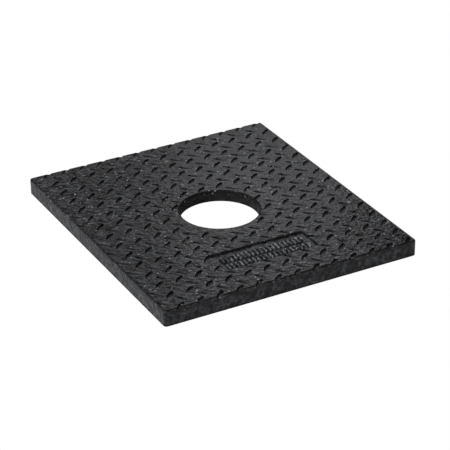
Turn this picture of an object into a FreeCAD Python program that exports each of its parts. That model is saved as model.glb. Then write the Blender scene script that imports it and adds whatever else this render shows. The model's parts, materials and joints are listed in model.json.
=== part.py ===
import FreeCAD, Part
import math
import os

# Traffic channelizer base: a nearly square slab of moulded black rubber that drops over a post and
# lies on the post's flange. The real object is one moulding. It is modelled as the features that its
# mould makes, each a solid in its own node: the base slab, the tread face on top of it, the floor of
# the marking panel, and two rows of plain raised marking bars.
#
# Frame: millimetres, +Z up, origin on the ground under the middle of the plate. The marking panel is
# near the front edge, at -Y.

# Driving dimensions of the slab
PLATE_WIDTH = 406.4            # 16 in, along X
PLATE_DEPTH = 457.2            # 18 in, along Y
PLATE_THICKNESS = 25.4         # 1 in, along Z
CORNER_RADIUS = 5.2            # upright corners
TOP_EDGE_RADIUS = 2.5          # rounding round the top's outer edge
GROUND_EDGE_RADIUS = 1.5       # rounding round the underside's outer edge

# Post hole and the seat under it for the post's flange
HOLE_RADIUS = 59.7             # 4.7 in bore
HOLE_X = 2.5                   # the bore stands a little off the middle of the plate
HOLE_Y = -4.6
HOLE_RIM_RADIUS = 2.0          # rounding round the bore's top rim
SEAT_RADIUS = 76.2             # 6 in flange recess in the underside
SEAT_DEPTH = 7.2

# Tread: lens-shaped dimples in two families, laid out on one rectangular lattice
TREAD_FACE_THICKNESS = 6.0
DIMPLE_DEPTH = 2.1
DIMPLE_HALF_LENGTH = 11.6
DIMPLE_HALF_WIDTH = 3.8
DIMPLE_TIP_RADIUS = 1.5
DIMPLE_WALL_RUN = 1.1          # how far each wall leans inwards over the depth
HOLE_MARGIN = 6.0              # the plain ring round the bore that holds no dimple's centre
PITCH_X = 30.58
PITCH_Y = 31.88
RISING_X = 7.8                 # one dimple of the family that runs up to the right
RISING_Y = -0.5
RISING_ANGLE = 39.0
FALLING_X = -10.2              # its neighbour in the family that runs down to the right
FALLING_Y = 13.2
FALLING_ANGLE = -42.0

# Marking panel, recessed in the tread face
PANEL_MIN_X = -78.2
PANEL_MAX_X = 74.4
PANEL_MIN_Y = -171.5
PANEL_MAX_Y = -122.3
PANEL_CORNER_RADIUS = 3.0
PANEL_RECESS = 2.8             # from the top down to the panel's floor

# Marking bars, plain blocks that stand up from the panel's floor in two rows
BAR_HEIGHT = 2.2
BAR_WIDTH = 3.4
BAR_PITCH = 6.86
BAR_CORNER_RADIUS = 0.8
BAR_COUNT = 20
ROW_MIDDLE_X = -2.4
BACK_ROW_Y = (-150.0, -134.7)
FRONT_ROW_Y = (-168.5, -155.0)

UP = FreeCAD.Vector(0, 0, 1)
TREAD_BOTTOM = PLATE_THICKNESS - TREAD_FACE_THICKNESS
PANEL_FLOOR = PLATE_THICKNESS - PANEL_RECESS
CUT_SLACK = 1.0                # how far a cutting tool runs past the face it opens


def rounded_block(min_x, max_x, min_y, max_y, bottom, top, radius):
    """An upright block with rounded upright corners."""
    corner = FreeCAD.Vector(min_x, min_y, bottom)
    block = Part.makeBox(max_x - min_x, max_y - min_y, top - bottom, corner)
    upright = [e for e in block.Edges if abs(e.tangentAt(e.FirstParameter).z) > 0.99]
    return block.makeFillet(radius, upright)


def edges_at(shape, height):
    """The edges that lie wholly at one height."""
    near = 1e-6
    return [e for e in shape.Edges
            if abs(e.BoundBox.ZMin - height) < near and abs(e.BoundBox.ZMax - height) < near]


def plate_block(bottom, top):
    """The plate's outline between two heights."""
    half_width, half_depth = PLATE_WIDTH / 2, PLATE_DEPTH / 2
    return rounded_block(-half_width, half_width, -half_depth, half_depth, bottom, top, CORNER_RADIUS)


def post_hole(bottom, top, radius=HOLE_RADIUS):
    """A round cutter on the post's axis."""
    return Part.makeCylinder(radius, top - bottom, FreeCAD.Vector(HOLE_X, HOLE_Y, bottom), UP)


def base_slab():
    """The body of the plate up to the tread face, with the bore and the flange seat under it."""
    slab = plate_block(0, TREAD_BOTTOM)
    slab = slab.makeFillet(GROUND_EDGE_RADIUS, edges_at(slab, 0))
    slab = slab.cut(post_hole(-CUT_SLACK, TREAD_BOTTOM + CUT_SLACK))
    return slab.cut(post_hole(-CUT_SLACK, SEAT_DEPTH, SEAT_RADIUS))


def dimple_cutter():
    """One dimple, along X, mouth at the origin's height: where two upright cones meet in a lens."""
    radius = (DIMPLE_HALF_LENGTH ** 2 + DIMPLE_HALF_WIDTH ** 2) / (2 * DIMPLE_HALF_WIDTH)
    offset = radius - DIMPLE_HALF_WIDTH
    above = 0.5
    floor_radius = radius - DIMPLE_WALL_RUN
    above_radius = radius + DIMPLE_WALL_RUN * above / DIMPLE_DEPTH
    walls = []
    for side in (-1, 1):
        foot = FreeCAD.Vector(0, side * offset, -DIMPLE_DEPTH)
        walls.append(Part.makeCone(floor_radius, above_radius, DIMPLE_DEPTH + above, foot, UP))
    lens = walls[0].common(walls[1])
    tips = [e for e in lens.Edges if e.BoundBox.ZLength > DIMPLE_DEPTH]
    return lens.makeFillet(DIMPLE_TIP_RADIUS, tips)


def has_dimple(x, y):
    """Dimples are laid only where their centre is on the plate, clear of the bore and the panel."""
    on_plate = abs(x) < PLATE_WIDTH / 2 and abs(y) < PLATE_DEPTH / 2
    by_bore = math.hypot(x - HOLE_X, y - HOLE_Y) < HOLE_RADIUS + HOLE_MARGIN
    in_panel = PANEL_MIN_X < x < PANEL_MAX_X and PANEL_MIN_Y < y < PANEL_MAX_Y
    return on_plate and not by_bore and not in_panel


def dimple_centres(first_x, first_y):
    """Every dimple of one family, from one known centre."""
    places = []
    for i in range(-8, 9):
        for j in range(-8, 9):
            x, y = first_x + i * PITCH_X, first_y + j * PITCH_Y
            if has_dimple(x, y):
                places.append((x, y))
    return places


def dimples():
    """The cutters of both families, over the whole plate."""
    cutter = dimple_cutter()
    families = (
        (RISING_X, RISING_Y, RISING_ANGLE),
        (FALLING_X, FALLING_Y, FALLING_ANGLE),
    )
    cutters = []
    for first_x, first_y, angle in families:
        turned = cutter.copy()
        turned.rotate(FreeCAD.Vector(0, 0, 0), UP, angle)
        for x, y in dimple_centres(first_x, first_y):
            placed = turned.copy()
            placed.translate(FreeCAD.Vector(x, y, PLATE_THICKNESS))
            cutters.append(placed)
    return cutters


def panel_block(bottom, top):
    """The marking panel's outline between two heights."""
    return rounded_block(
        PANEL_MIN_X, PANEL_MAX_X, PANEL_MIN_Y, PANEL_MAX_Y, bottom, top, PANEL_CORNER_RADIUS
    )


def tread_face():
    """The top layer: dimpled all over, open at the bore and at the marking panel."""
    face = plate_block(TREAD_BOTTOM, PLATE_THICKNESS)
    face = face.makeFillet(TOP_EDGE_RADIUS, edges_at(face, PLATE_THICKNESS))
    face = face.cut(post_hole(TREAD_BOTTOM - CUT_SLACK, PLATE_THICKNESS + CUT_SLACK))
    rim = [e for e in edges_at(face, PLATE_THICKNESS) if abs(e.BoundBox.XLength - 2 * HOLE_RADIUS) < 0.1]
    face = face.makeFillet(HOLE_RIM_RADIUS, rim)
    face = face.cut(panel_block(TREAD_BOTTOM - CUT_SLACK, PLATE_THICKNESS + CUT_SLACK))
    return face.cut(dimples())


def marking_panel():
    """The panel's floor, a thin pad that fills the bottom of the opening in the tread face."""
    return panel_block(TREAD_BOTTOM, PANEL_FLOOR)


def marking_bars(row_y):
    """One row of plain upright bars, evenly spaced, on the panel's floor."""
    first = ROW_MIDDLE_X - BAR_PITCH * (BAR_COUNT - 1) / 2
    bars = []
    top = PANEL_FLOOR + BAR_HEIGHT
    for k in range(BAR_COUNT):
        left = first + k * BAR_PITCH - BAR_WIDTH / 2
        right = left + BAR_WIDTH
        bars.append(rounded_block(left, right, *row_y, PANEL_FLOOR, top, BAR_CORNER_RADIUS))
    return Part.makeCompound(bars)


NODES = {
    "base_slab": base_slab(),
    "tread_face": tread_face(),
    "marking_panel": marking_panel(),
    "marking_bars_back_row": marking_bars(BACK_ROW_Y),
    "marking_bars_front_row": marking_bars(FRONT_ROW_Y),
}

os.makedirs("parts", exist_ok=True)
for node, shape in NODES.items():
    shape.exportStep("parts/" + node + ".step")
    box = shape.BoundBox
    print(node, "solids", len(shape.Solids), "valid", shape.isValid())
    print("  volume cm3", round(shape.Volume / 1000, 1), "z", round(box.ZMin, 2), round(box.ZMax, 2))
    print("  size x, y", round(box.XLength, 1), round(box.YLength, 1))
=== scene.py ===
import json
import math

import bmesh
import bpy
import numpy as np
from mathutils import Matrix, Vector
from mathutils.geometry import delaunay_2d_cdt


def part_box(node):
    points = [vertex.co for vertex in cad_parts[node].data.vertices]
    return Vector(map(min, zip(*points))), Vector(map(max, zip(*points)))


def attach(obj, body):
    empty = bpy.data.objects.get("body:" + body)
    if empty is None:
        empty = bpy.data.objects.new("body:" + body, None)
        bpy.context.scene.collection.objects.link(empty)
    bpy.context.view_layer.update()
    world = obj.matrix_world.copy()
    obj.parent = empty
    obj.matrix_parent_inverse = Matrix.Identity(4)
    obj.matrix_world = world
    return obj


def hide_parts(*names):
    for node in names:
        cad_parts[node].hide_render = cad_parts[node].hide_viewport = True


# A traffic channelizer base: a nearly square slab of moulded recycled rubber. Its top is covered with
# sunken lens-shaped dimples in two crossed families. It has a round hole for a post, and a recessed
# panel with two rows of plain marking bars. The object's lengths are millimetres in the row frame, and
# become metres when a mesh is made. The stage, the lamps and the camera are set out in metres.

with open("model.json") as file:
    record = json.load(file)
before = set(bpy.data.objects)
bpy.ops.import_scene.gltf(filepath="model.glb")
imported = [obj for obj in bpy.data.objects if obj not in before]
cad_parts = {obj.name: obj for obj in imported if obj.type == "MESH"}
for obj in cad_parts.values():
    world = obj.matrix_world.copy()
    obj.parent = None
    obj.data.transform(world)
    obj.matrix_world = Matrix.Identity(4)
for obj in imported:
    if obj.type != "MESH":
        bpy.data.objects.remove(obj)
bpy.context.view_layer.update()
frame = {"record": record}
METRE = 1000.0                 # millimetres in a metre


def in_mm(corner):
    """A point, from metres to millimetres."""
    return [METRE * value for value in corner]


def node_box(node):
    """Lowest and highest corner of a CAD node, in millimetres."""
    low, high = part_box(node)
    return in_mm(low), in_mm(high)


def mount(name):
    """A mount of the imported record, by name."""
    return next(m for m in frame["record"]["mounts"] if m["name"] == name)


# The plate. Its box is the frame's, and the roundings are the CAD part's.
TREAD_LOW, TREAD_HIGH = node_box("tread_face")
TOP = TREAD_HIGH[2]
TREAD_BOTTOM = TREAD_LOW[2]
CORNER_RADIUS = 5.2
TOP_EDGE_RADIUS = 2.5
GROUND_EDGE_RADIUS = 1.5

# The bore and the flange seat under it
BORE = mount("post_hole")
SEAT = mount("flange_seat")
HOLE_X, HOLE_Y, _ = in_mm(BORE["pos_m"])
HOLE_RADIUS = BORE["dims"]["r_mm"]
HOLE_RIM_RADIUS = 2.0
SEAT_RADIUS = SEAT["dims"]["r_mm"]
SEAT_DEPTH = SEAT["dims"]["length_mm"]

# The marking panel and its two rows of bars
PANEL_LOW, PANEL_HIGH = node_box("marking_panel")
PANEL_FLOOR = PANEL_HIGH[2]
PANEL_CORNER_RADIUS = 3.0
PANEL_RIM_RADIUS = 0.7         # rounding at the top and the foot of the panel's walls
PANEL_WALL_LEAN = 0.15         # how far the wall comes in over its height
BAR_ROWS = ("marking_bars_back_row", "marking_bars_front_row")
BAR_PITCH = 6.86
BAR_WIDTH = 3.4
BAR_CORNER_RADIUS = 1.0
BAR_TOP_RADIUS = 0.6
BAR_LEAN = 0.3                 # how far each side of a bar leans in over its height
BAR_SHADOW_BORDER = (1.8, 0.6)       # from a row of bars out to where the floor's matt band of painted shadow ends, and is full

# The tread's dimples: the centre of one dimple and its angle, for each of the two families
PITCH_X, PITCH_Y = 30.58, 31.88
FAMILIES = (
    (7.8, -0.5, math.radians(39.0)),
    (-10.2, 13.2, math.radians(-42.0)),
)
DIMPLE_DEPTH = 2.1
DIMPLE_HALF_LENGTH = 11.6
DIMPLE_HALF_WIDTH = 3.8
DIMPLE_TIP_RADIUS = 1.5
DIMPLE_WALL_RUN = 1.1
HOLE_MARGIN = 6.0              # the plain ring round the bore that holds no dimple's centre
LATTICE_REACH = 8              # pitches each way from the first dimple, enough to cover the plate
# Distances in from a dimple's rim, negative outside it, at which the mesh has a ring of edges
RING_INSETS = (-3.0, -1.4, -0.5, 0.0, 0.25, 0.5, 0.75, 1.1, 1.9)
ARC_SPANS = 8                  # along each side of a dimple
TIP_SPANS = 3                  # round each tip

# The pointed lens inside the tip rounding
CORE_HALF_LENGTH = DIMPLE_HALF_LENGTH - DIMPLE_TIP_RADIUS
CORE_HALF_WIDTH = DIMPLE_HALF_WIDTH - DIMPLE_TIP_RADIUS
CORE_RADIUS = (CORE_HALF_LENGTH**2 + CORE_HALF_WIDTH**2) / (2 * CORE_HALF_WIDTH)
CORE_OFFSET = CORE_RADIUS - CORE_HALF_WIDTH

# The mesh
EDGE_SPACING = 3.0             # between points along straight edges
CORNER_SPANS = 8               # round each upright corner
HOLE_SPANS = 160               # round the bore
ROUNDING_SPANS = 5             # across an edge rounding
SHARP_ANGLE = math.radians(48)  # edges that turn further than this are shaded sharp
MERGE_DISTANCE = 1e-5          # points nearer than this are one point
LEAST_BLEND, BLEND_GAIN = 0.02, 0.3  # how softly two drops meet: at the top, and more below it

# The finish, with painted shade and painted highlights, in layers that the material reads
RIM_HIGHLIGHT_REACH = 3.0                # how far the painted highlight on a dimple's rim reaches out over the flat
RIM_HIGHLIGHT_FADE = 0.8                 # and in over the wall
# painted shade, and matt, on the bore's wall
BORE_SHADE_AND_MATT = 0.6
GROUND_SHADE_HEIGHT = 3.0           # height at which the matt, painted shade of the ground edge ends
WALL_SHADE_DROP = 1.5             # drop at which the panel's wall has its fullest painted shade, and is most matt
EDGE_BAND = (1.8, 3.0)         # distances in from an edge where its matt band of painted shade starts to fade, and ends
BAND_DROP = (0.5, 1.3)         # drops below the top where the band starts to fade, and ends


# ---- Profiles: (distance in from a wall, drop below the top) ----

def quarter_round(radius):
    """An edge rounding, from the wall inwards to the flat."""
    profile = []
    for k in range(ROUNDING_SPANS + 1):
        turn = math.pi / 2 * k / ROUNDING_SPANS
        profile.append((radius * (1 - math.cos(turn)), radius * (1 - math.sin(turn))))
    return profile


def panel_wall():
    """The panel's wall, from the flat outside it to the panel's floor: round, steep, round."""
    depth, radius = TOP - PANEL_FLOOR, PANEL_RIM_RADIUS
    rim = [(-inset, drop) for inset, drop in reversed(quarter_round(radius))]
    foot = [(PANEL_WALL_LEAN + inset, depth - drop) for inset, drop in quarter_round(radius)]
    return rim + foot


PLATE_EDGE = quarter_round(TOP_EDGE_RADIUS)
HOLE_EDGE = quarter_round(HOLE_RIM_RADIUS)
PANEL_EDGE = panel_wall()


def drop_at(profile, inset):
    """Drop of a profile at distances in from its wall."""
    insets, drops = zip(*profile)
    return np.interp(inset, insets, drops)


# ---- Height of the tread's surface ----

def smooth(value):
    """Smooth step from 0 to 1."""
    value = np.clip(value, 0.0, 1.0)
    return value * value * (3 - 2 * value)


def fade(value, limits):
    """Smooth fall from 1 to 0 between two limits."""
    start, end = limits
    return 1 - smooth((value - start) / (end - start))


def has_dimple(x, y):
    """Dimples are laid only where their centre is on the plate, clear of the bore and the panel."""
    on_plate = (abs(x) < TREAD_HIGH[0]) & (abs(y) < TREAD_HIGH[1])
    by_bore = np.hypot(x - HOLE_X, y - HOLE_Y) < HOLE_RADIUS + HOLE_MARGIN
    in_panel = (PANEL_LOW[0] < x) & (x < PANEL_HIGH[0]) & (PANEL_LOW[1] < y) & (y < PANEL_HIGH[1])
    return on_plate & ~by_bore & ~in_panel


def dimple_inset(x, y):
    """Distance inside the rim of the nearest dimple, negative outside."""
    inset = np.full(x.shape, -PITCH_X)
    for first_x, first_y, angle in FAMILIES:
        nearest_x = first_x + np.round((x - first_x) / PITCH_X) * PITCH_X
        nearest_y = first_y + np.round((y - first_y) / PITCH_Y) * PITCH_Y
        for step_x in (-PITCH_X, 0, PITCH_X):
            for step_y in (-PITCH_Y, 0, PITCH_Y):
                centre_x, centre_y = nearest_x + step_x, nearest_y + step_y
                dx, dy = x - centre_x, y - centre_y
                along = np.abs(dx * math.cos(angle) + dy * math.sin(angle))
                across = np.abs(dy * math.cos(angle) - dx * math.sin(angle))
                to_arc = np.hypot(along, across + CORE_OFFSET) - CORE_RADIUS
                to_tip = np.hypot(along - CORE_HALF_LENGTH, across)
                past_tip = CORE_OFFSET * (along - CORE_HALF_LENGTH) > CORE_HALF_LENGTH * across
                here = DIMPLE_TIP_RADIUS - np.where(past_tip, to_tip, to_arc)
                inset = np.maximum(inset, np.where(has_dimple(centre_x, centre_y), here, -PITCH_X))
    return inset


def box_inset(x, y, low, high, radius):
    """Distance inside a rounded rectangle, negative outside."""
    dx = np.abs(x - (low[0] + high[0]) / 2) - (high[0] - low[0]) / 2 + radius
    dy = np.abs(y - (low[1] + high[1]) / 2) - (high[1] - low[1]) / 2 + radius
    outside = np.hypot(np.maximum(dx, 0), np.maximum(dy, 0))
    return radius - outside - np.minimum(np.maximum(dx, dy), 0)


def deeper(first, second):
    """The larger of two drops, blended where they meet."""
    shallow, deep = np.minimum(first, second), np.maximum(first, second)
    blend = LEAST_BLEND + BLEND_GAIN * smooth(shallow)
    share = np.clip(0.5 + 0.5 * (first - second) / blend, 0, 1)
    blended = second + (first - second) * share + blend * share * (1 - share)
    return np.where(shallow > 0, blended, deep)


def tread_edges(x, y):
    """Drop of the roundings round the plate and round the bore."""
    edge = drop_at(PLATE_EDGE, box_inset(x, y, TREAD_LOW, TREAD_HIGH, CORNER_RADIUS))
    rim = drop_at(HOLE_EDGE, np.hypot(x - HOLE_X, y - HOLE_Y) - HOLE_RADIUS)
    return deeper(edge, rim)


def panel_drop(x, y):
    """Drop of the marking panel's walls."""
    return drop_at(PANEL_EDGE, box_inset(x, y, PANEL_LOW, PANEL_HIGH, PANEL_CORNER_RADIUS))


def tread_height(x, y):
    """Height of the tread's surface."""
    dimple = DIMPLE_DEPTH * smooth(dimple_inset(x, y) / DIMPLE_WALL_RUN)
    return TOP - deeper(deeper(dimple, panel_drop(x, y)), tread_edges(x, y))


def tread_shade_and_matt(x, y):
    """How much painted shade the tread has, and how matt it is: in a band along its edges, and on the
    panel's wall.
    """
    to_plate = box_inset(x, y, TREAD_LOW, TREAD_HIGH, CORNER_RADIUS)
    to_bore = np.hypot(x - HOLE_X, y - HOLE_Y) - HOLE_RADIUS
    drop = drop_at(PLATE_EDGE, to_plate)
    band = fade(np.minimum(to_plate, to_bore), EDGE_BAND) * fade(drop, BAND_DROP)
    return np.maximum(band, smooth(panel_drop(x, y) / WALL_SHADE_DROP))


# ---- Outlines ----

def rounded_outline(low, high, radius, inset=0.0):
    """Points round a rounded rectangle, moved in from it by the inset."""
    turn_radius = radius - inset
    corners = (
        (high[0] - radius, high[1] - radius),
        (low[0] + radius, high[1] - radius),
        (low[0] + radius, low[1] + radius),
        (high[0] - radius, low[1] + radius),
    )
    points = []
    for k, (cx, cy) in enumerate(corners):
        for step in range(CORNER_SPANS + 1):
            turn = math.pi / 2 * (k + step / CORNER_SPANS)
            points.append((cx + turn_radius * math.cos(turn), cy + turn_radius * math.sin(turn)))
        next_x, next_y = corners[(k + 1) % 4]
        spans = round(math.dist((cx, cy), (next_x, next_y)) / EDGE_SPACING)
        start_x, start_y = points[-1]
        for step in range(1, spans):
            share = step / spans
            points.append((start_x + (next_x - cx) * share, start_y + (next_y - cy) * share))
    return points


def circle(radius):
    """Points round the post's axis."""
    step = 2 * math.pi / HOLE_SPANS
    turns = [k * step for k in range(HOLE_SPANS)]
    return [(HOLE_X + radius * math.cos(turn), HOLE_Y + radius * math.sin(turn)) for turn in turns]


def lens_ring(inset):
    """Points round one dimple, along X about the origin, at a distance inside its rim."""
    grow = DIMPLE_TIP_RADIUS - inset
    radius = CORE_RADIUS + grow
    rounded = grow > 0
    half_turn = math.acos(CORE_OFFSET / (CORE_RADIUS if rounded else radius))
    side = []
    for k in range(ARC_SPANS + 1 if rounded else ARC_SPANS):
        turn = half_turn * (1 - 2 * k / ARC_SPANS)
        side.append((radius * math.sin(turn), radius * math.cos(turn) - CORE_OFFSET))
    if rounded:
        for k in range(1, TIP_SPANS):
            turn = math.pi / 2 + half_turn + (math.pi - 2 * half_turn) * k / TIP_SPANS
            side.append((-CORE_HALF_LENGTH + grow * math.cos(turn), grow * math.sin(turn)))
    return side + [(-x, -y) for x, y in side]


def dimple_places():
    """Centre and angle of every dimple."""
    places = []
    for first_x, first_y, angle in FAMILIES:
        for i in range(-LATTICE_REACH, LATTICE_REACH + 1):
            for j in range(-LATTICE_REACH, LATTICE_REACH + 1):
                x, y = first_x + i * PITCH_X, first_y + j * PITCH_Y
                if has_dimple(x, y):
                    places.append((x, y, angle))
    return places


# ---- Mesh helpers ----

def flat_surface(chains, walls, seed):
    """Triangles over a region bounded by the wall outlines, with an edge along every chain.

    chains are closed outlines that triangles follow. walls maps a name to the closed outline that
    bounds the region there. seed is a place in the region. Returns the points, the triangles, and the
    wall that each bounding edge is on."""
    points, edges, wall_of = [], [], {}
    for name, outline in [(None, chain) for chain in chains] + list(walls.items()):
        first = len(points)
        points += outline
        for k in range(len(outline)):
            if name:
                wall_of[len(edges)] = name
            edges.append((first + k, first + (k + 1) % len(outline)))
    made = delaunay_2d_cdt([Vector(p) for p in points], edges, [], 0, MERGE_DISTANCE, True)
    verts, made_edges, triangles, _, edge_sources, _ = made
    blocked = {}
    for edge, sources in zip(made_edges, edge_sources):
        names = {wall_of[s] for s in sources if s in wall_of}
        if names:
            blocked[tuple(sorted(edge))] = names.pop()
    sides = {}
    for index, triangle in enumerate(triangles):
        for k in range(3):
            key = tuple(sorted((triangle[k], triangle[(k + 1) % 3])))
            sides.setdefault(key, []).append(index)
    corners = np.array([v[:] for v in verts])
    middles = corners[np.array(triangles)].mean(1)
    start = int(np.argmin(np.hypot(middles[:, 0] - seed[0], middles[:, 1] - seed[1])))
    kept, waiting = {start}, [start]
    while waiting:
        triangle = triangles[waiting.pop()]
        for k in range(3):
            key = tuple(sorted((triangle[k], triangle[(k + 1) % 3])))
            if key in blocked:
                continue
            for other in sides[key]:
                if other not in kept:
                    kept.add(other)
                    waiting.append(other)
    return corners, [triangles[k] for k in sorted(kept)], blocked


def wall_down(bm, edges, level):
    """A wall from a loop of edges straight down to a level. Returns its bottom edges and points."""
    below = {}
    for edge in edges:
        for vert in edge.verts:
            if vert not in below:
                below[vert] = bm.verts.new((vert.co.x, vert.co.y, level))
    feet = []
    for edge in edges:
        start, end = edge.verts
        bm.faces.new((start, end, below[end], below[start]))
        feet.append(bm.edges.get((below[start], below[end])))
    return feet, below.values()


def add_piece(name, bm, nodes, material):
    """A finished mesh as a piece of the object, in metres, standing for its CAD nodes."""
    bmesh.ops.recalc_face_normals(bm, faces=bm.faces)
    for face in bm.faces:
        face.smooth = True
    for edge in bm.edges:
        edge.smooth = len(edge.link_faces) == 2 and edge.calc_face_angle() < SHARP_ANGLE
    bmesh.ops.scale(bm, vec=(1 / METRE,) * 3, verts=bm.verts)
    mesh = bpy.data.meshes.new(name)
    bm.to_mesh(mesh)
    bm.free()
    mesh.materials.append(material)
    piece = bpy.data.objects.new(name, mesh)
    bpy.context.scene.collection.objects.link(piece)
    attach(piece, "root")
    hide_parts(*nodes)
    return piece


# ---- Pieces ----

def tread_moulding(material):
    """The dimpled top with its edge rounding, its walls and its flat underside."""
    chains = []
    for x, y, angle in dimple_places():
        turn_x, turn_y = math.cos(angle), math.sin(angle)
        for inset in RING_INSETS:
            chains.append([
                (x + px * turn_x - py * turn_y, y + px * turn_y + py * turn_x)
                for px, py in lens_ring(inset)
            ])
    for inset in [inset for inset, _ in PLATE_EDGE[1:]] + [EDGE_BAND[1]]:
        chains.append(rounded_outline(TREAD_LOW, TREAD_HIGH, CORNER_RADIUS, inset))
    for inset in [inset for inset, _ in HOLE_EDGE[1:]] + [EDGE_BAND[1]]:
        chains.append(circle(HOLE_RADIUS + inset))
    for inset, _ in PANEL_EDGE[:-1]:
        chains.append(rounded_outline(PANEL_LOW, PANEL_HIGH, PANEL_CORNER_RADIUS, inset))
    walls = {
        "plate": rounded_outline(TREAD_LOW, TREAD_HIGH, CORNER_RADIUS),
        "hole": circle(HOLE_RADIUS),
        "panel": rounded_outline(PANEL_LOW, PANEL_HIGH, PANEL_CORNER_RADIUS, PANEL_EDGE[-1][0]),
    }
    seed = (PANEL_LOW[0] - 2 * PITCH_X, PANEL_LOW[1])
    corners, triangles, wall_edges = flat_surface(chains, walls, seed)
    heights = tread_height(corners[:, 0], corners[:, 1])
    insets = dimple_inset(corners[:, 0], corners[:, 1])
    # Layers for the material: painted shade in the hollows, matt painted shade along the edges and on
    # the panel's wall, and painted highlights round the rims.
    hollow_shade_amounts = smooth(insets / DIMPLE_WALL_RUN)
    shade_and_matt_amounts = tread_shade_and_matt(corners[:, 0], corners[:, 1])
    rim_highlights = smooth(1 + insets / RIM_HIGHLIGHT_REACH) * (1 - smooth(insets / RIM_HIGHLIGHT_FADE))
    bm = bmesh.new()
    hollow_shade_and_matt = bm.verts.layers.float.new("hollow_shade_and_matt")
    rim = bm.verts.layers.float.new("rim")
    shade_and_matt = bm.verts.layers.float.new("shade_and_matt")
    verts = {}
    for triangle in triangles:
        for k in triangle:
            if k not in verts:
                verts[k] = bm.verts.new((corners[k][0], corners[k][1], heights[k]))
                verts[k][hollow_shade_and_matt] = hollow_shade_amounts[k]
                verts[k][rim] = rim_highlights[k]
                verts[k][shade_and_matt] = shade_and_matt_amounts[k]
        bm.faces.new([verts[k] for k in triangle])
    feet = []
    for name in walls:
        loop = []
        for key, wall in wall_edges.items():
            if wall == name and all(k in verts for k in key):
                edge = bm.edges.get([verts[k] for k in key])
                if edge and len(edge.link_faces) == 1:
                    loop.append(edge)
        wall_feet, points = wall_down(bm, loop, TREAD_BOTTOM)
        feet += wall_feet
        # The bore's wall gets painted shade, and is matt.
        if name == "hole":
            for vert in points:
                vert[shade_and_matt] = BORE_SHADE_AND_MATT
    bmesh.ops.triangle_fill(bm, use_beauty=True, use_dissolve=False, edges=feet)
    return add_piece("tread_moulding", bm, ["tread_face"], material)


def ring(bm, outline, height):
    """A closed loop of points at one height."""
    return [bm.verts.new((x, y, height)) for x, y in outline]


def bridge(bm, lower, upper):
    """Quads between two loops with the same number of points."""
    count = len(lower)
    for k in range(count):
        after = (k + 1) % count
        bm.faces.new((lower[k], lower[after], upper[after], upper[k]))


def fill(bm, *rings):
    """A flat face between an outer loop and any loops inside it."""
    edges = []
    for loop in rings:
        count = len(loop)
        edges += [bm.edges.get((loop[k], loop[(k + 1) % count])) for k in range(count)]
    bmesh.ops.triangle_fill(bm, use_beauty=True, use_dissolve=False, edges=edges)


def slab_moulding(material):
    """The body of the plate: its sides, the bore, the flange seat and the ground face."""
    plate = (TREAD_LOW, TREAD_HIGH, CORNER_RADIUS)
    bm = bmesh.new()
    shade_and_matt = bm.verts.layers.float.new("shade_and_matt")
    outer = [ring(bm, rounded_outline(*plate), height) for height in (TREAD_BOTTOM, GROUND_SHADE_HEIGHT)]
    # The ground edge's rounding gets painted shade, and is matt.
    for inset, drop in quarter_round(GROUND_EDGE_RADIUS):
        outer.append(ring(bm, rounded_outline(*plate, inset), drop))
        for vert in outer[-1]:
            vert[shade_and_matt] = 1.0
    for upper, lower in zip(outer, outer[1:]):
        bridge(bm, lower, upper)
    seat = [ring(bm, circle(SEAT_RADIUS), 0.0), ring(bm, circle(SEAT_RADIUS), SEAT_DEPTH)]
    bore = [ring(bm, circle(HOLE_RADIUS), SEAT_DEPTH), ring(bm, circle(HOLE_RADIUS), TREAD_BOTTOM)]
    bridge(bm, *seat)
    bridge(bm, seat[1], bore[0])
    bridge(bm, *bore)
    # The bore's wall gets painted shade, and is matt.
    for vert in bore[0] + bore[1]:
        vert[shade_and_matt] = BORE_SHADE_AND_MATT
    fill(bm, outer[-1], seat[0])
    fill(bm, outer[0], bore[1])
    return add_piece("slab_moulding", bm, ["base_slab"], material)


def panel_moulding(material):
    """The marking panel's floor, which meets the foot of the panel's walls. By the bars it has a matt
    band of painted shadow.
    """
    outline = rounded_outline(PANEL_LOW, PANEL_HIGH, PANEL_CORNER_RADIUS, PANEL_EDGE[-1][0])
    bm = bmesh.new()
    shade_and_matt = bm.verts.layers.float.new("shade_and_matt")
    foot, floor = ring(bm, outline, PANEL_LOW[2]), ring(bm, outline, PANEL_FLOOR)
    bridge(bm, foot, floor)
    fill(bm, foot)
    borders = []
    for row in BAR_ROWS:
        low, high = node_box(row)
        # A matt band of painted shadow round each row of bars
        outlines = [rounded_outline(low, high, BAR_CORNER_RADIUS, -grow) for grow in BAR_SHADOW_BORDER]
        outer, inner = (ring(bm, border, PANEL_FLOOR) for border in outlines)
        for vert in inner:
            vert[shade_and_matt] = 1.0
        bridge(bm, outer, inner)
        fill(bm, inner)
        borders.append(outer)
    fill(bm, floor, *borders)
    return add_piece("panel_moulding", bm, ["marking_panel"], material)


def bar_row_moulding(row, material):
    """One row of plain bars with leaning sides and rounded tops."""
    low, high = node_box(row)
    height = high[2] - low[2]
    levels = [(0.0, low[2])]
    for inset, drop in quarter_round(BAR_TOP_RADIUS):
        levels.append((BAR_LEAN * (height - drop) / height + inset, high[2] - drop))
    count = round((high[0] - low[0] - BAR_WIDTH) / BAR_PITCH) + 1
    bm = bmesh.new()
    for k in range(count):
        left = low[0] + k * BAR_PITCH
        bar = ((left, low[1]), (left + BAR_WIDTH, high[1]))
        rings = [ring(bm, rounded_outline(*bar, BAR_CORNER_RADIUS, inset), z) for inset, z in levels]
        for lower, upper in zip(rings, rings[1:]):
            bridge(bm, lower, upper)
        fill(bm, rings[0])
        fill(bm, rings[-1])
    return add_piece(row.replace("marking_", "raised_"), bm, [row], material)


# ---- Material ----

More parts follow.
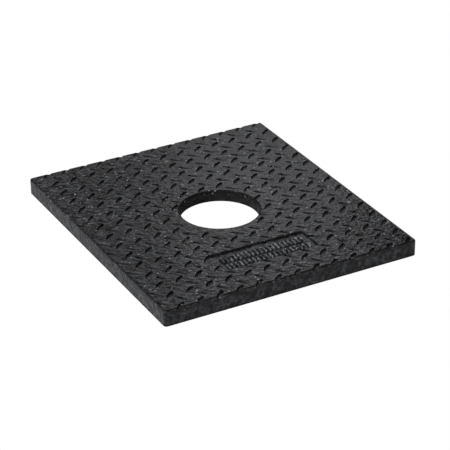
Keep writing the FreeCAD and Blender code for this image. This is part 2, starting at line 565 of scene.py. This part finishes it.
CRUMB_WIDTH = 5.6              # cells of rubber crumb, each of its own tone
GRAIN_PERIOD = 6.0             # fine grain in tone, gloss and relief
MOTTLE_PERIOD = 26.0           # broad patches in tone
FLECK_WIDTH = 4.2              # cells of which a few hold a pale fleck
FLECK_CHOICE = (0.91, 0.95)    # random values at which a cell's fleck starts to show, and is whole
FLECK_EDGE = (0.2, 0.45)       # distances at which a fleck starts to fade, and ends, in cells
WHOLE = (0.0, 1.0)
NOISE = (0.3, 0.7)             # the range that fractal noise mostly stays in
# What multiplies the tone, at the low end and at the high end of each pattern or layer
CRUMB_TONES = (0.1, 2.4)
GRAIN_TONES = (0.25, 1.9)
MOTTLE_TONES = (0.75, 1.3)
# painted shade in the dimples' hollows
HOLLOW_SHADE_TONES = (1.0, 0.35)
# painted shade: along the edges, on the bore, the ground edge and the panel's wall, and as shadow round
# the bars
SHADE_TONES = (1.0, 0.05)
# painted highlight on the dimples' rims
RIM_HIGHLIGHT_TONES = (1.0, 2.2)
TINT = (("Red", 0.97), ("Green", 0.99), ("Blue", 1.06))
GLOSS_SPREAD = (-0.1, 0.2)     # the grain's change of roughness
DULL_ROUGHNESS, HOLLOW_ROUGHNESS = 0.5, 0.15
SPECULAR = 0.42
CRUMB_RELIEF = 0.5             # beside the grain's relief
RELIEF_STRENGTH = 0.26
RELIEF_DEPTH = 3.6


class Nodes:
    """Short names for adding shader nodes to one material."""

    def __init__(self, name):
        self.material = bpy.data.materials.new(name)
        self.material.use_nodes = True
        self.tree = self.material.node_tree
        self.shader = self.tree.nodes["Principled BSDF"]

    def add(self, kind, **settings):
        node = self.tree.nodes.new(kind)
        for key, value in settings.items():
            setattr(node, key, value)
        return node

    def join(self, source, socket):
        """A link, or a plain value, into a socket."""
        if isinstance(source, (int, float)):
            socket.default_value = source
        else:
            self.tree.links.new(source, socket)

    def math(self, operation, *values):
        node = self.add("ShaderNodeMath", operation=operation)
        for value, socket in zip(values, node.inputs):
            self.join(value, socket)
        return node.outputs[0]

    def spread(self, source, old, new):
        """A value carried smoothly from one range to another."""
        node = self.add("ShaderNodeMapRange", interpolation_type="SMOOTHSTEP")
        self.join(source, node.inputs["Value"])
        for key, value in zip(("From Min", "From Max", "To Min", "To Max"), old + new):
            node.inputs[key].default_value = value
        return node.outputs["Result"]

    def noise(self, place, period, detail):
        """Fractal noise with a period in millimetres."""
        node = self.add("ShaderNodeTexNoise")
        self.join(place, node.inputs["Vector"])
        node.inputs["Scale"].default_value = 1 / period
        node.inputs["Detail"].default_value = detail
        return node.outputs["Fac"]

    def cells(self, place, period):
        """Random cells with a width in millimetres: distance from the middle, and a random value."""
        node = self.add("ShaderNodeTexVoronoi")
        self.join(place, node.inputs["Vector"])
        node.inputs["Scale"].default_value = 1 / period
        parts = self.add("ShaderNodeSeparateColor")
        self.join(node.outputs["Color"], parts.inputs["Color"])
        return node.outputs["Distance"], parts.outputs["Red"]


def rubber(name, tone, gloss=0.26, fleck_tone=0.32):
    """Moulded recycled rubber: fine crumb, pale flecks, painted shade in the hollows, painted highlights
    on the rims, and matt bands of painted shade.
    """
    nodes = Nodes(name)
    scale = nodes.add("ShaderNodeVectorMath", operation="SCALE")
    nodes.join(nodes.add("ShaderNodeTexCoord").outputs["Object"], scale.inputs[0])
    scale.inputs["Scale"].default_value = METRE
    place = scale.outputs[0]
    # Layers that paint shade and highlights into the colour, and set roughness
    hollow_shade_and_matt, rim, shade_and_matt = (
        nodes.add("ShaderNodeAttribute", attribute_name=layer).outputs["Fac"]
        for layer in ("hollow_shade_and_matt", "rim", "shade_and_matt")
    )
    crumb_distance, crumb = nodes.cells(place, CRUMB_WIDTH)
    grain = nodes.noise(place, GRAIN_PERIOD, detail=2.0)
    mottle = nodes.noise(place, MOTTLE_PERIOD, detail=3.0)
    fleck_distance, fleck = nodes.cells(place, FLECK_WIDTH)

    value = tone
    # The last three layers paint shade into the hollows, paint shade on edges, walls and round the bars,
    # and paint highlights on the rims.
    for source, old, new in (
        (crumb, WHOLE, CRUMB_TONES),
        (grain, NOISE, GRAIN_TONES),
        (mottle, NOISE, MOTTLE_TONES),
        (hollow_shade_and_matt, WHOLE, HOLLOW_SHADE_TONES),
        (shade_and_matt, WHOLE, SHADE_TONES),
        (rim, WHOLE, RIM_HIGHLIGHT_TONES),
    ):
        value = nodes.math("MULTIPLY", nodes.spread(source, old, new), value)
    fleck_spot = nodes.spread(fleck_distance, FLECK_EDGE, (fleck_tone, 0.0))
    pale = nodes.math("MULTIPLY", nodes.spread(fleck, FLECK_CHOICE, WHOLE), fleck_spot)
    value = nodes.math("ADD", value, pale)
    colour = nodes.add("ShaderNodeCombineColor")
    for channel, share in TINT:
        nodes.join(nodes.math("MULTIPLY", value, share), colour.inputs[channel])
    nodes.join(colour.outputs[0], nodes.shader.inputs["Base Color"])

    dulled = nodes.math("MULTIPLY", shade_and_matt, DULL_ROUGHNESS)
    matt = nodes.math("ADD", dulled, nodes.math("MULTIPLY", hollow_shade_and_matt, HOLLOW_ROUGHNESS))
    grained = nodes.spread(grain, NOISE, (gloss + GLOSS_SPREAD[0], gloss + GLOSS_SPREAD[1]))
    nodes.join(nodes.math("ADD", grained, matt), nodes.shader.inputs["Roughness"])
    nodes.shader.inputs["Specular IOR Level"].default_value = SPECULAR

    relief = nodes.math("ADD", grain, nodes.math("MULTIPLY", crumb_distance, CRUMB_RELIEF))
    bump = nodes.add("ShaderNodeBump")
    bump.inputs["Strength"].default_value = RELIEF_STRENGTH
    bump.inputs["Distance"].default_value = RELIEF_DEPTH / METRE
    nodes.join(relief, bump.inputs["Height"])
    nodes.join(bump.outputs[0], nodes.shader.inputs["Normal"])
    return nodes.material


tread_moulding(rubber("tread_rubber", tone=0.012))
slab_moulding(rubber("slab_rubber", tone=0.017, fleck_tone=0.05))
# The panel's rubber is paler than the tread's, so its recessed floor looks as lit as the top: painted
# light.
panel_moulding(rubber("panel_rubber", tone=0.02, gloss=0.3))
# The bars' rubber is much paler than the tread's, so the bars' tops look lit: painted light.
marking_rubber = rubber("marking_rubber", tone=0.06)
for row in BAR_ROWS:
    bar_row_moulding(row, marking_rubber)


# ---- Stage, light and camera ----

# Far lamps: azimuth from +Y towards +X, elevation and width in degrees, then strength
LAMPS = (
    (-108, 44, 34, 0.36),
    (-60, 66, 34, 0.32),
    (-72, 44, 34, 0.32),
    (-105, 6, 34, 0.32),
    (-90, 24, 34, 0.29),
    (-120, 24, 34, 0.29),
    (-120, 66, 34, 0.22),
    (-36, 44, 34, 0.18),
    (20, 6, 34, 0.14),
    (0, 90, 34, 0.16),
    (0, 66, 34, 0.13),
    (0, 44, 34, 0.13),
    (0, 24, 34, 0.09),
    (-60, 24, 34, 0.13),
    (-144, 44, 34, 0.12),
    (165, 3, 14, 0.36),
)
LAMP_COLOUR = (0.97, 0.975, 1.0)
SKY = 0.02                     # strength of the even sky
# Lamps near the plate: place, then width and height, then power in watts. The first is beyond the back
# right corner. The second is a low strip beyond the left side, below the tread, so it lights only sides.
NEAR_LAMPS = (
    ((0.50, 0.72, 0.50), (0.4, 0.4), 0.45),
    ((-0.90, -0.05, 0.012), (1.2, 0.02), 1.25),
)
FLOOR_TONE = 0.7
FLOOR_ROUGHNESS = 0.9
FLOOR_REACH = 12.0             # from the middle to each side

# The camera: the point on the tread that it looks at, its distance, its turns in degrees and its lens
CAMERA_AIM = (-0.0146, -0.0527, TOP / METRE)
CAMERA_DISTANCE = 2.8051
CAMERA_YAW, CAMERA_PITCH, CAMERA_ROLL = 28.202, 28.364, -0.701
CAMERA_SENSOR, CAMERA_LENS = 36.0, 153.79


def sheet(name):
    """A wide sheet on the ground, with its own plain material. Returns the sheet and the shader."""
    mesh = bpy.data.meshes.new(name)
    signs = ((-1, -1), (1, -1), (1, 1), (-1, 1))
    corners = [(x * FLOOR_REACH, y * FLOOR_REACH, 0.0) for x, y in signs]
    mesh.from_pydata(corners, [], [(0, 1, 2, 3)])
    material = bpy.data.materials.new(name)
    material.use_nodes = True
    mesh.materials.append(material)
    piece = bpy.data.objects.new(name, mesh)
    bpy.context.scene.collection.objects.link(piece)
    return piece, material.node_tree.nodes["Principled BSDF"]


def floor():
    """A pale floor that sends light back up, and in its place the plain white sweep that is seen."""
    bounce, shader = sheet("floor")
    shader.inputs["Base Color"].default_value = (FLOOR_TONE, FLOOR_TONE, FLOOR_TONE, 1)
    shader.inputs["Roughness"].default_value = FLOOR_ROUGHNESS
    bounce.visible_camera = False
    sweep, shader = sheet("sweep")
    shader.inputs["Base Color"].default_value = (0, 0, 0, 1)
    shader.inputs["Specular IOR Level"].default_value = 0.0
    shader.inputs["Emission Color"].default_value = (1, 1, 1, 1)
    shader.inputs["Emission Strength"].default_value = 1.0
    for kind in ("diffuse", "glossy", "transmission", "shadow"):
        setattr(sweep, "visible_" + kind, False)


def camera():
    """The camera, from its aim, its distance and its turns."""
    yaw, pitch, roll = (math.radians(turn) for turn in (CAMERA_YAW, CAMERA_PITCH, CAMERA_ROLL))
    ahead = Vector((math.sin(yaw) * math.cos(pitch), math.cos(yaw) * math.cos(pitch), -math.sin(pitch)))
    level = Vector((math.cos(yaw), -math.sin(yaw), 0))
    up = level.cross(ahead)
    side = math.cos(roll) * level + math.sin(roll) * up
    top = math.cos(roll) * up - math.sin(roll) * level
    data = bpy.data.cameras.new("camera")
    data.sensor_width = CAMERA_SENSOR
    data.lens = CAMERA_LENS
    eye = bpy.data.objects.new("camera", data)
    bpy.context.scene.collection.objects.link(eye)
    place = Vector(CAMERA_AIM) - CAMERA_DISTANCE * ahead
    rows = [[side[k], top[k], -ahead[k], place[k]] for k in range(3)]
    eye.matrix_world = Matrix(rows + [[0, 0, 0, 1]])
    bpy.context.scene.camera = eye


def add_lamp(name, kind, towards):
    """A lamp that shines from a direction to the middle of the plate. Returns the lamp and its data."""
    data = bpy.data.lights.new(name, kind)
    data.color = LAMP_COLOUR
    lamp = bpy.data.objects.new(name, data)
    bpy.context.scene.collection.objects.link(lamp)
    lamp.rotation_euler = towards.to_track_quat("Z", "Y").to_euler()
    return lamp, data


def studio():
    """Plain soft studio light: wide lamps far away, two near ones, and a faint even sky. The camera sees
    the sky as a white backdrop."""
    world = bpy.data.worlds.new("studio")
    bpy.context.scene.world = world
    world.use_nodes = True
    tree = world.node_tree
    sky = tree.nodes["Background"]
    sky.inputs["Color"].default_value = (1, 1, 1, 1)
    sky.inputs["Strength"].default_value = SKY
    backdrop = tree.nodes.new("ShaderNodeBackground")
    backdrop.inputs["Color"].default_value = (1, 1, 1, 1)
    choice = tree.nodes.new("ShaderNodeMixShader")
    path = tree.nodes.new("ShaderNodeLightPath")
    tree.links.new(path.outputs["Is Camera Ray"], choice.inputs["Fac"])
    tree.links.new(sky.outputs[0], choice.inputs[1])
    tree.links.new(backdrop.outputs[0], choice.inputs[2])
    tree.links.new(choice.outputs[0], tree.nodes["World Output"].inputs["Surface"])
    for azimuth, elevation, width, strength in LAMPS:
        turn, rise = math.radians(azimuth), math.radians(elevation)
        level = math.cos(rise)
        towards = Vector((math.sin(turn) * level, math.cos(turn) * level, math.sin(rise)))
        lamp, data = add_lamp("lamp", "SUN", towards)
        data.energy = strength
        data.angle = math.radians(width)
    for place, (width, height), power in NEAR_LAMPS:
        lamp, data = add_lamp("near lamp", "AREA", Vector(place))
        data.shape = "RECTANGLE"
        data.size, data.size_y, data.energy = width, height, power
        lamp.location = place
        lamp.visible_camera = False
    bpy.context.scene.view_settings.view_transform = "Standard"


floor()
camera()
studio()
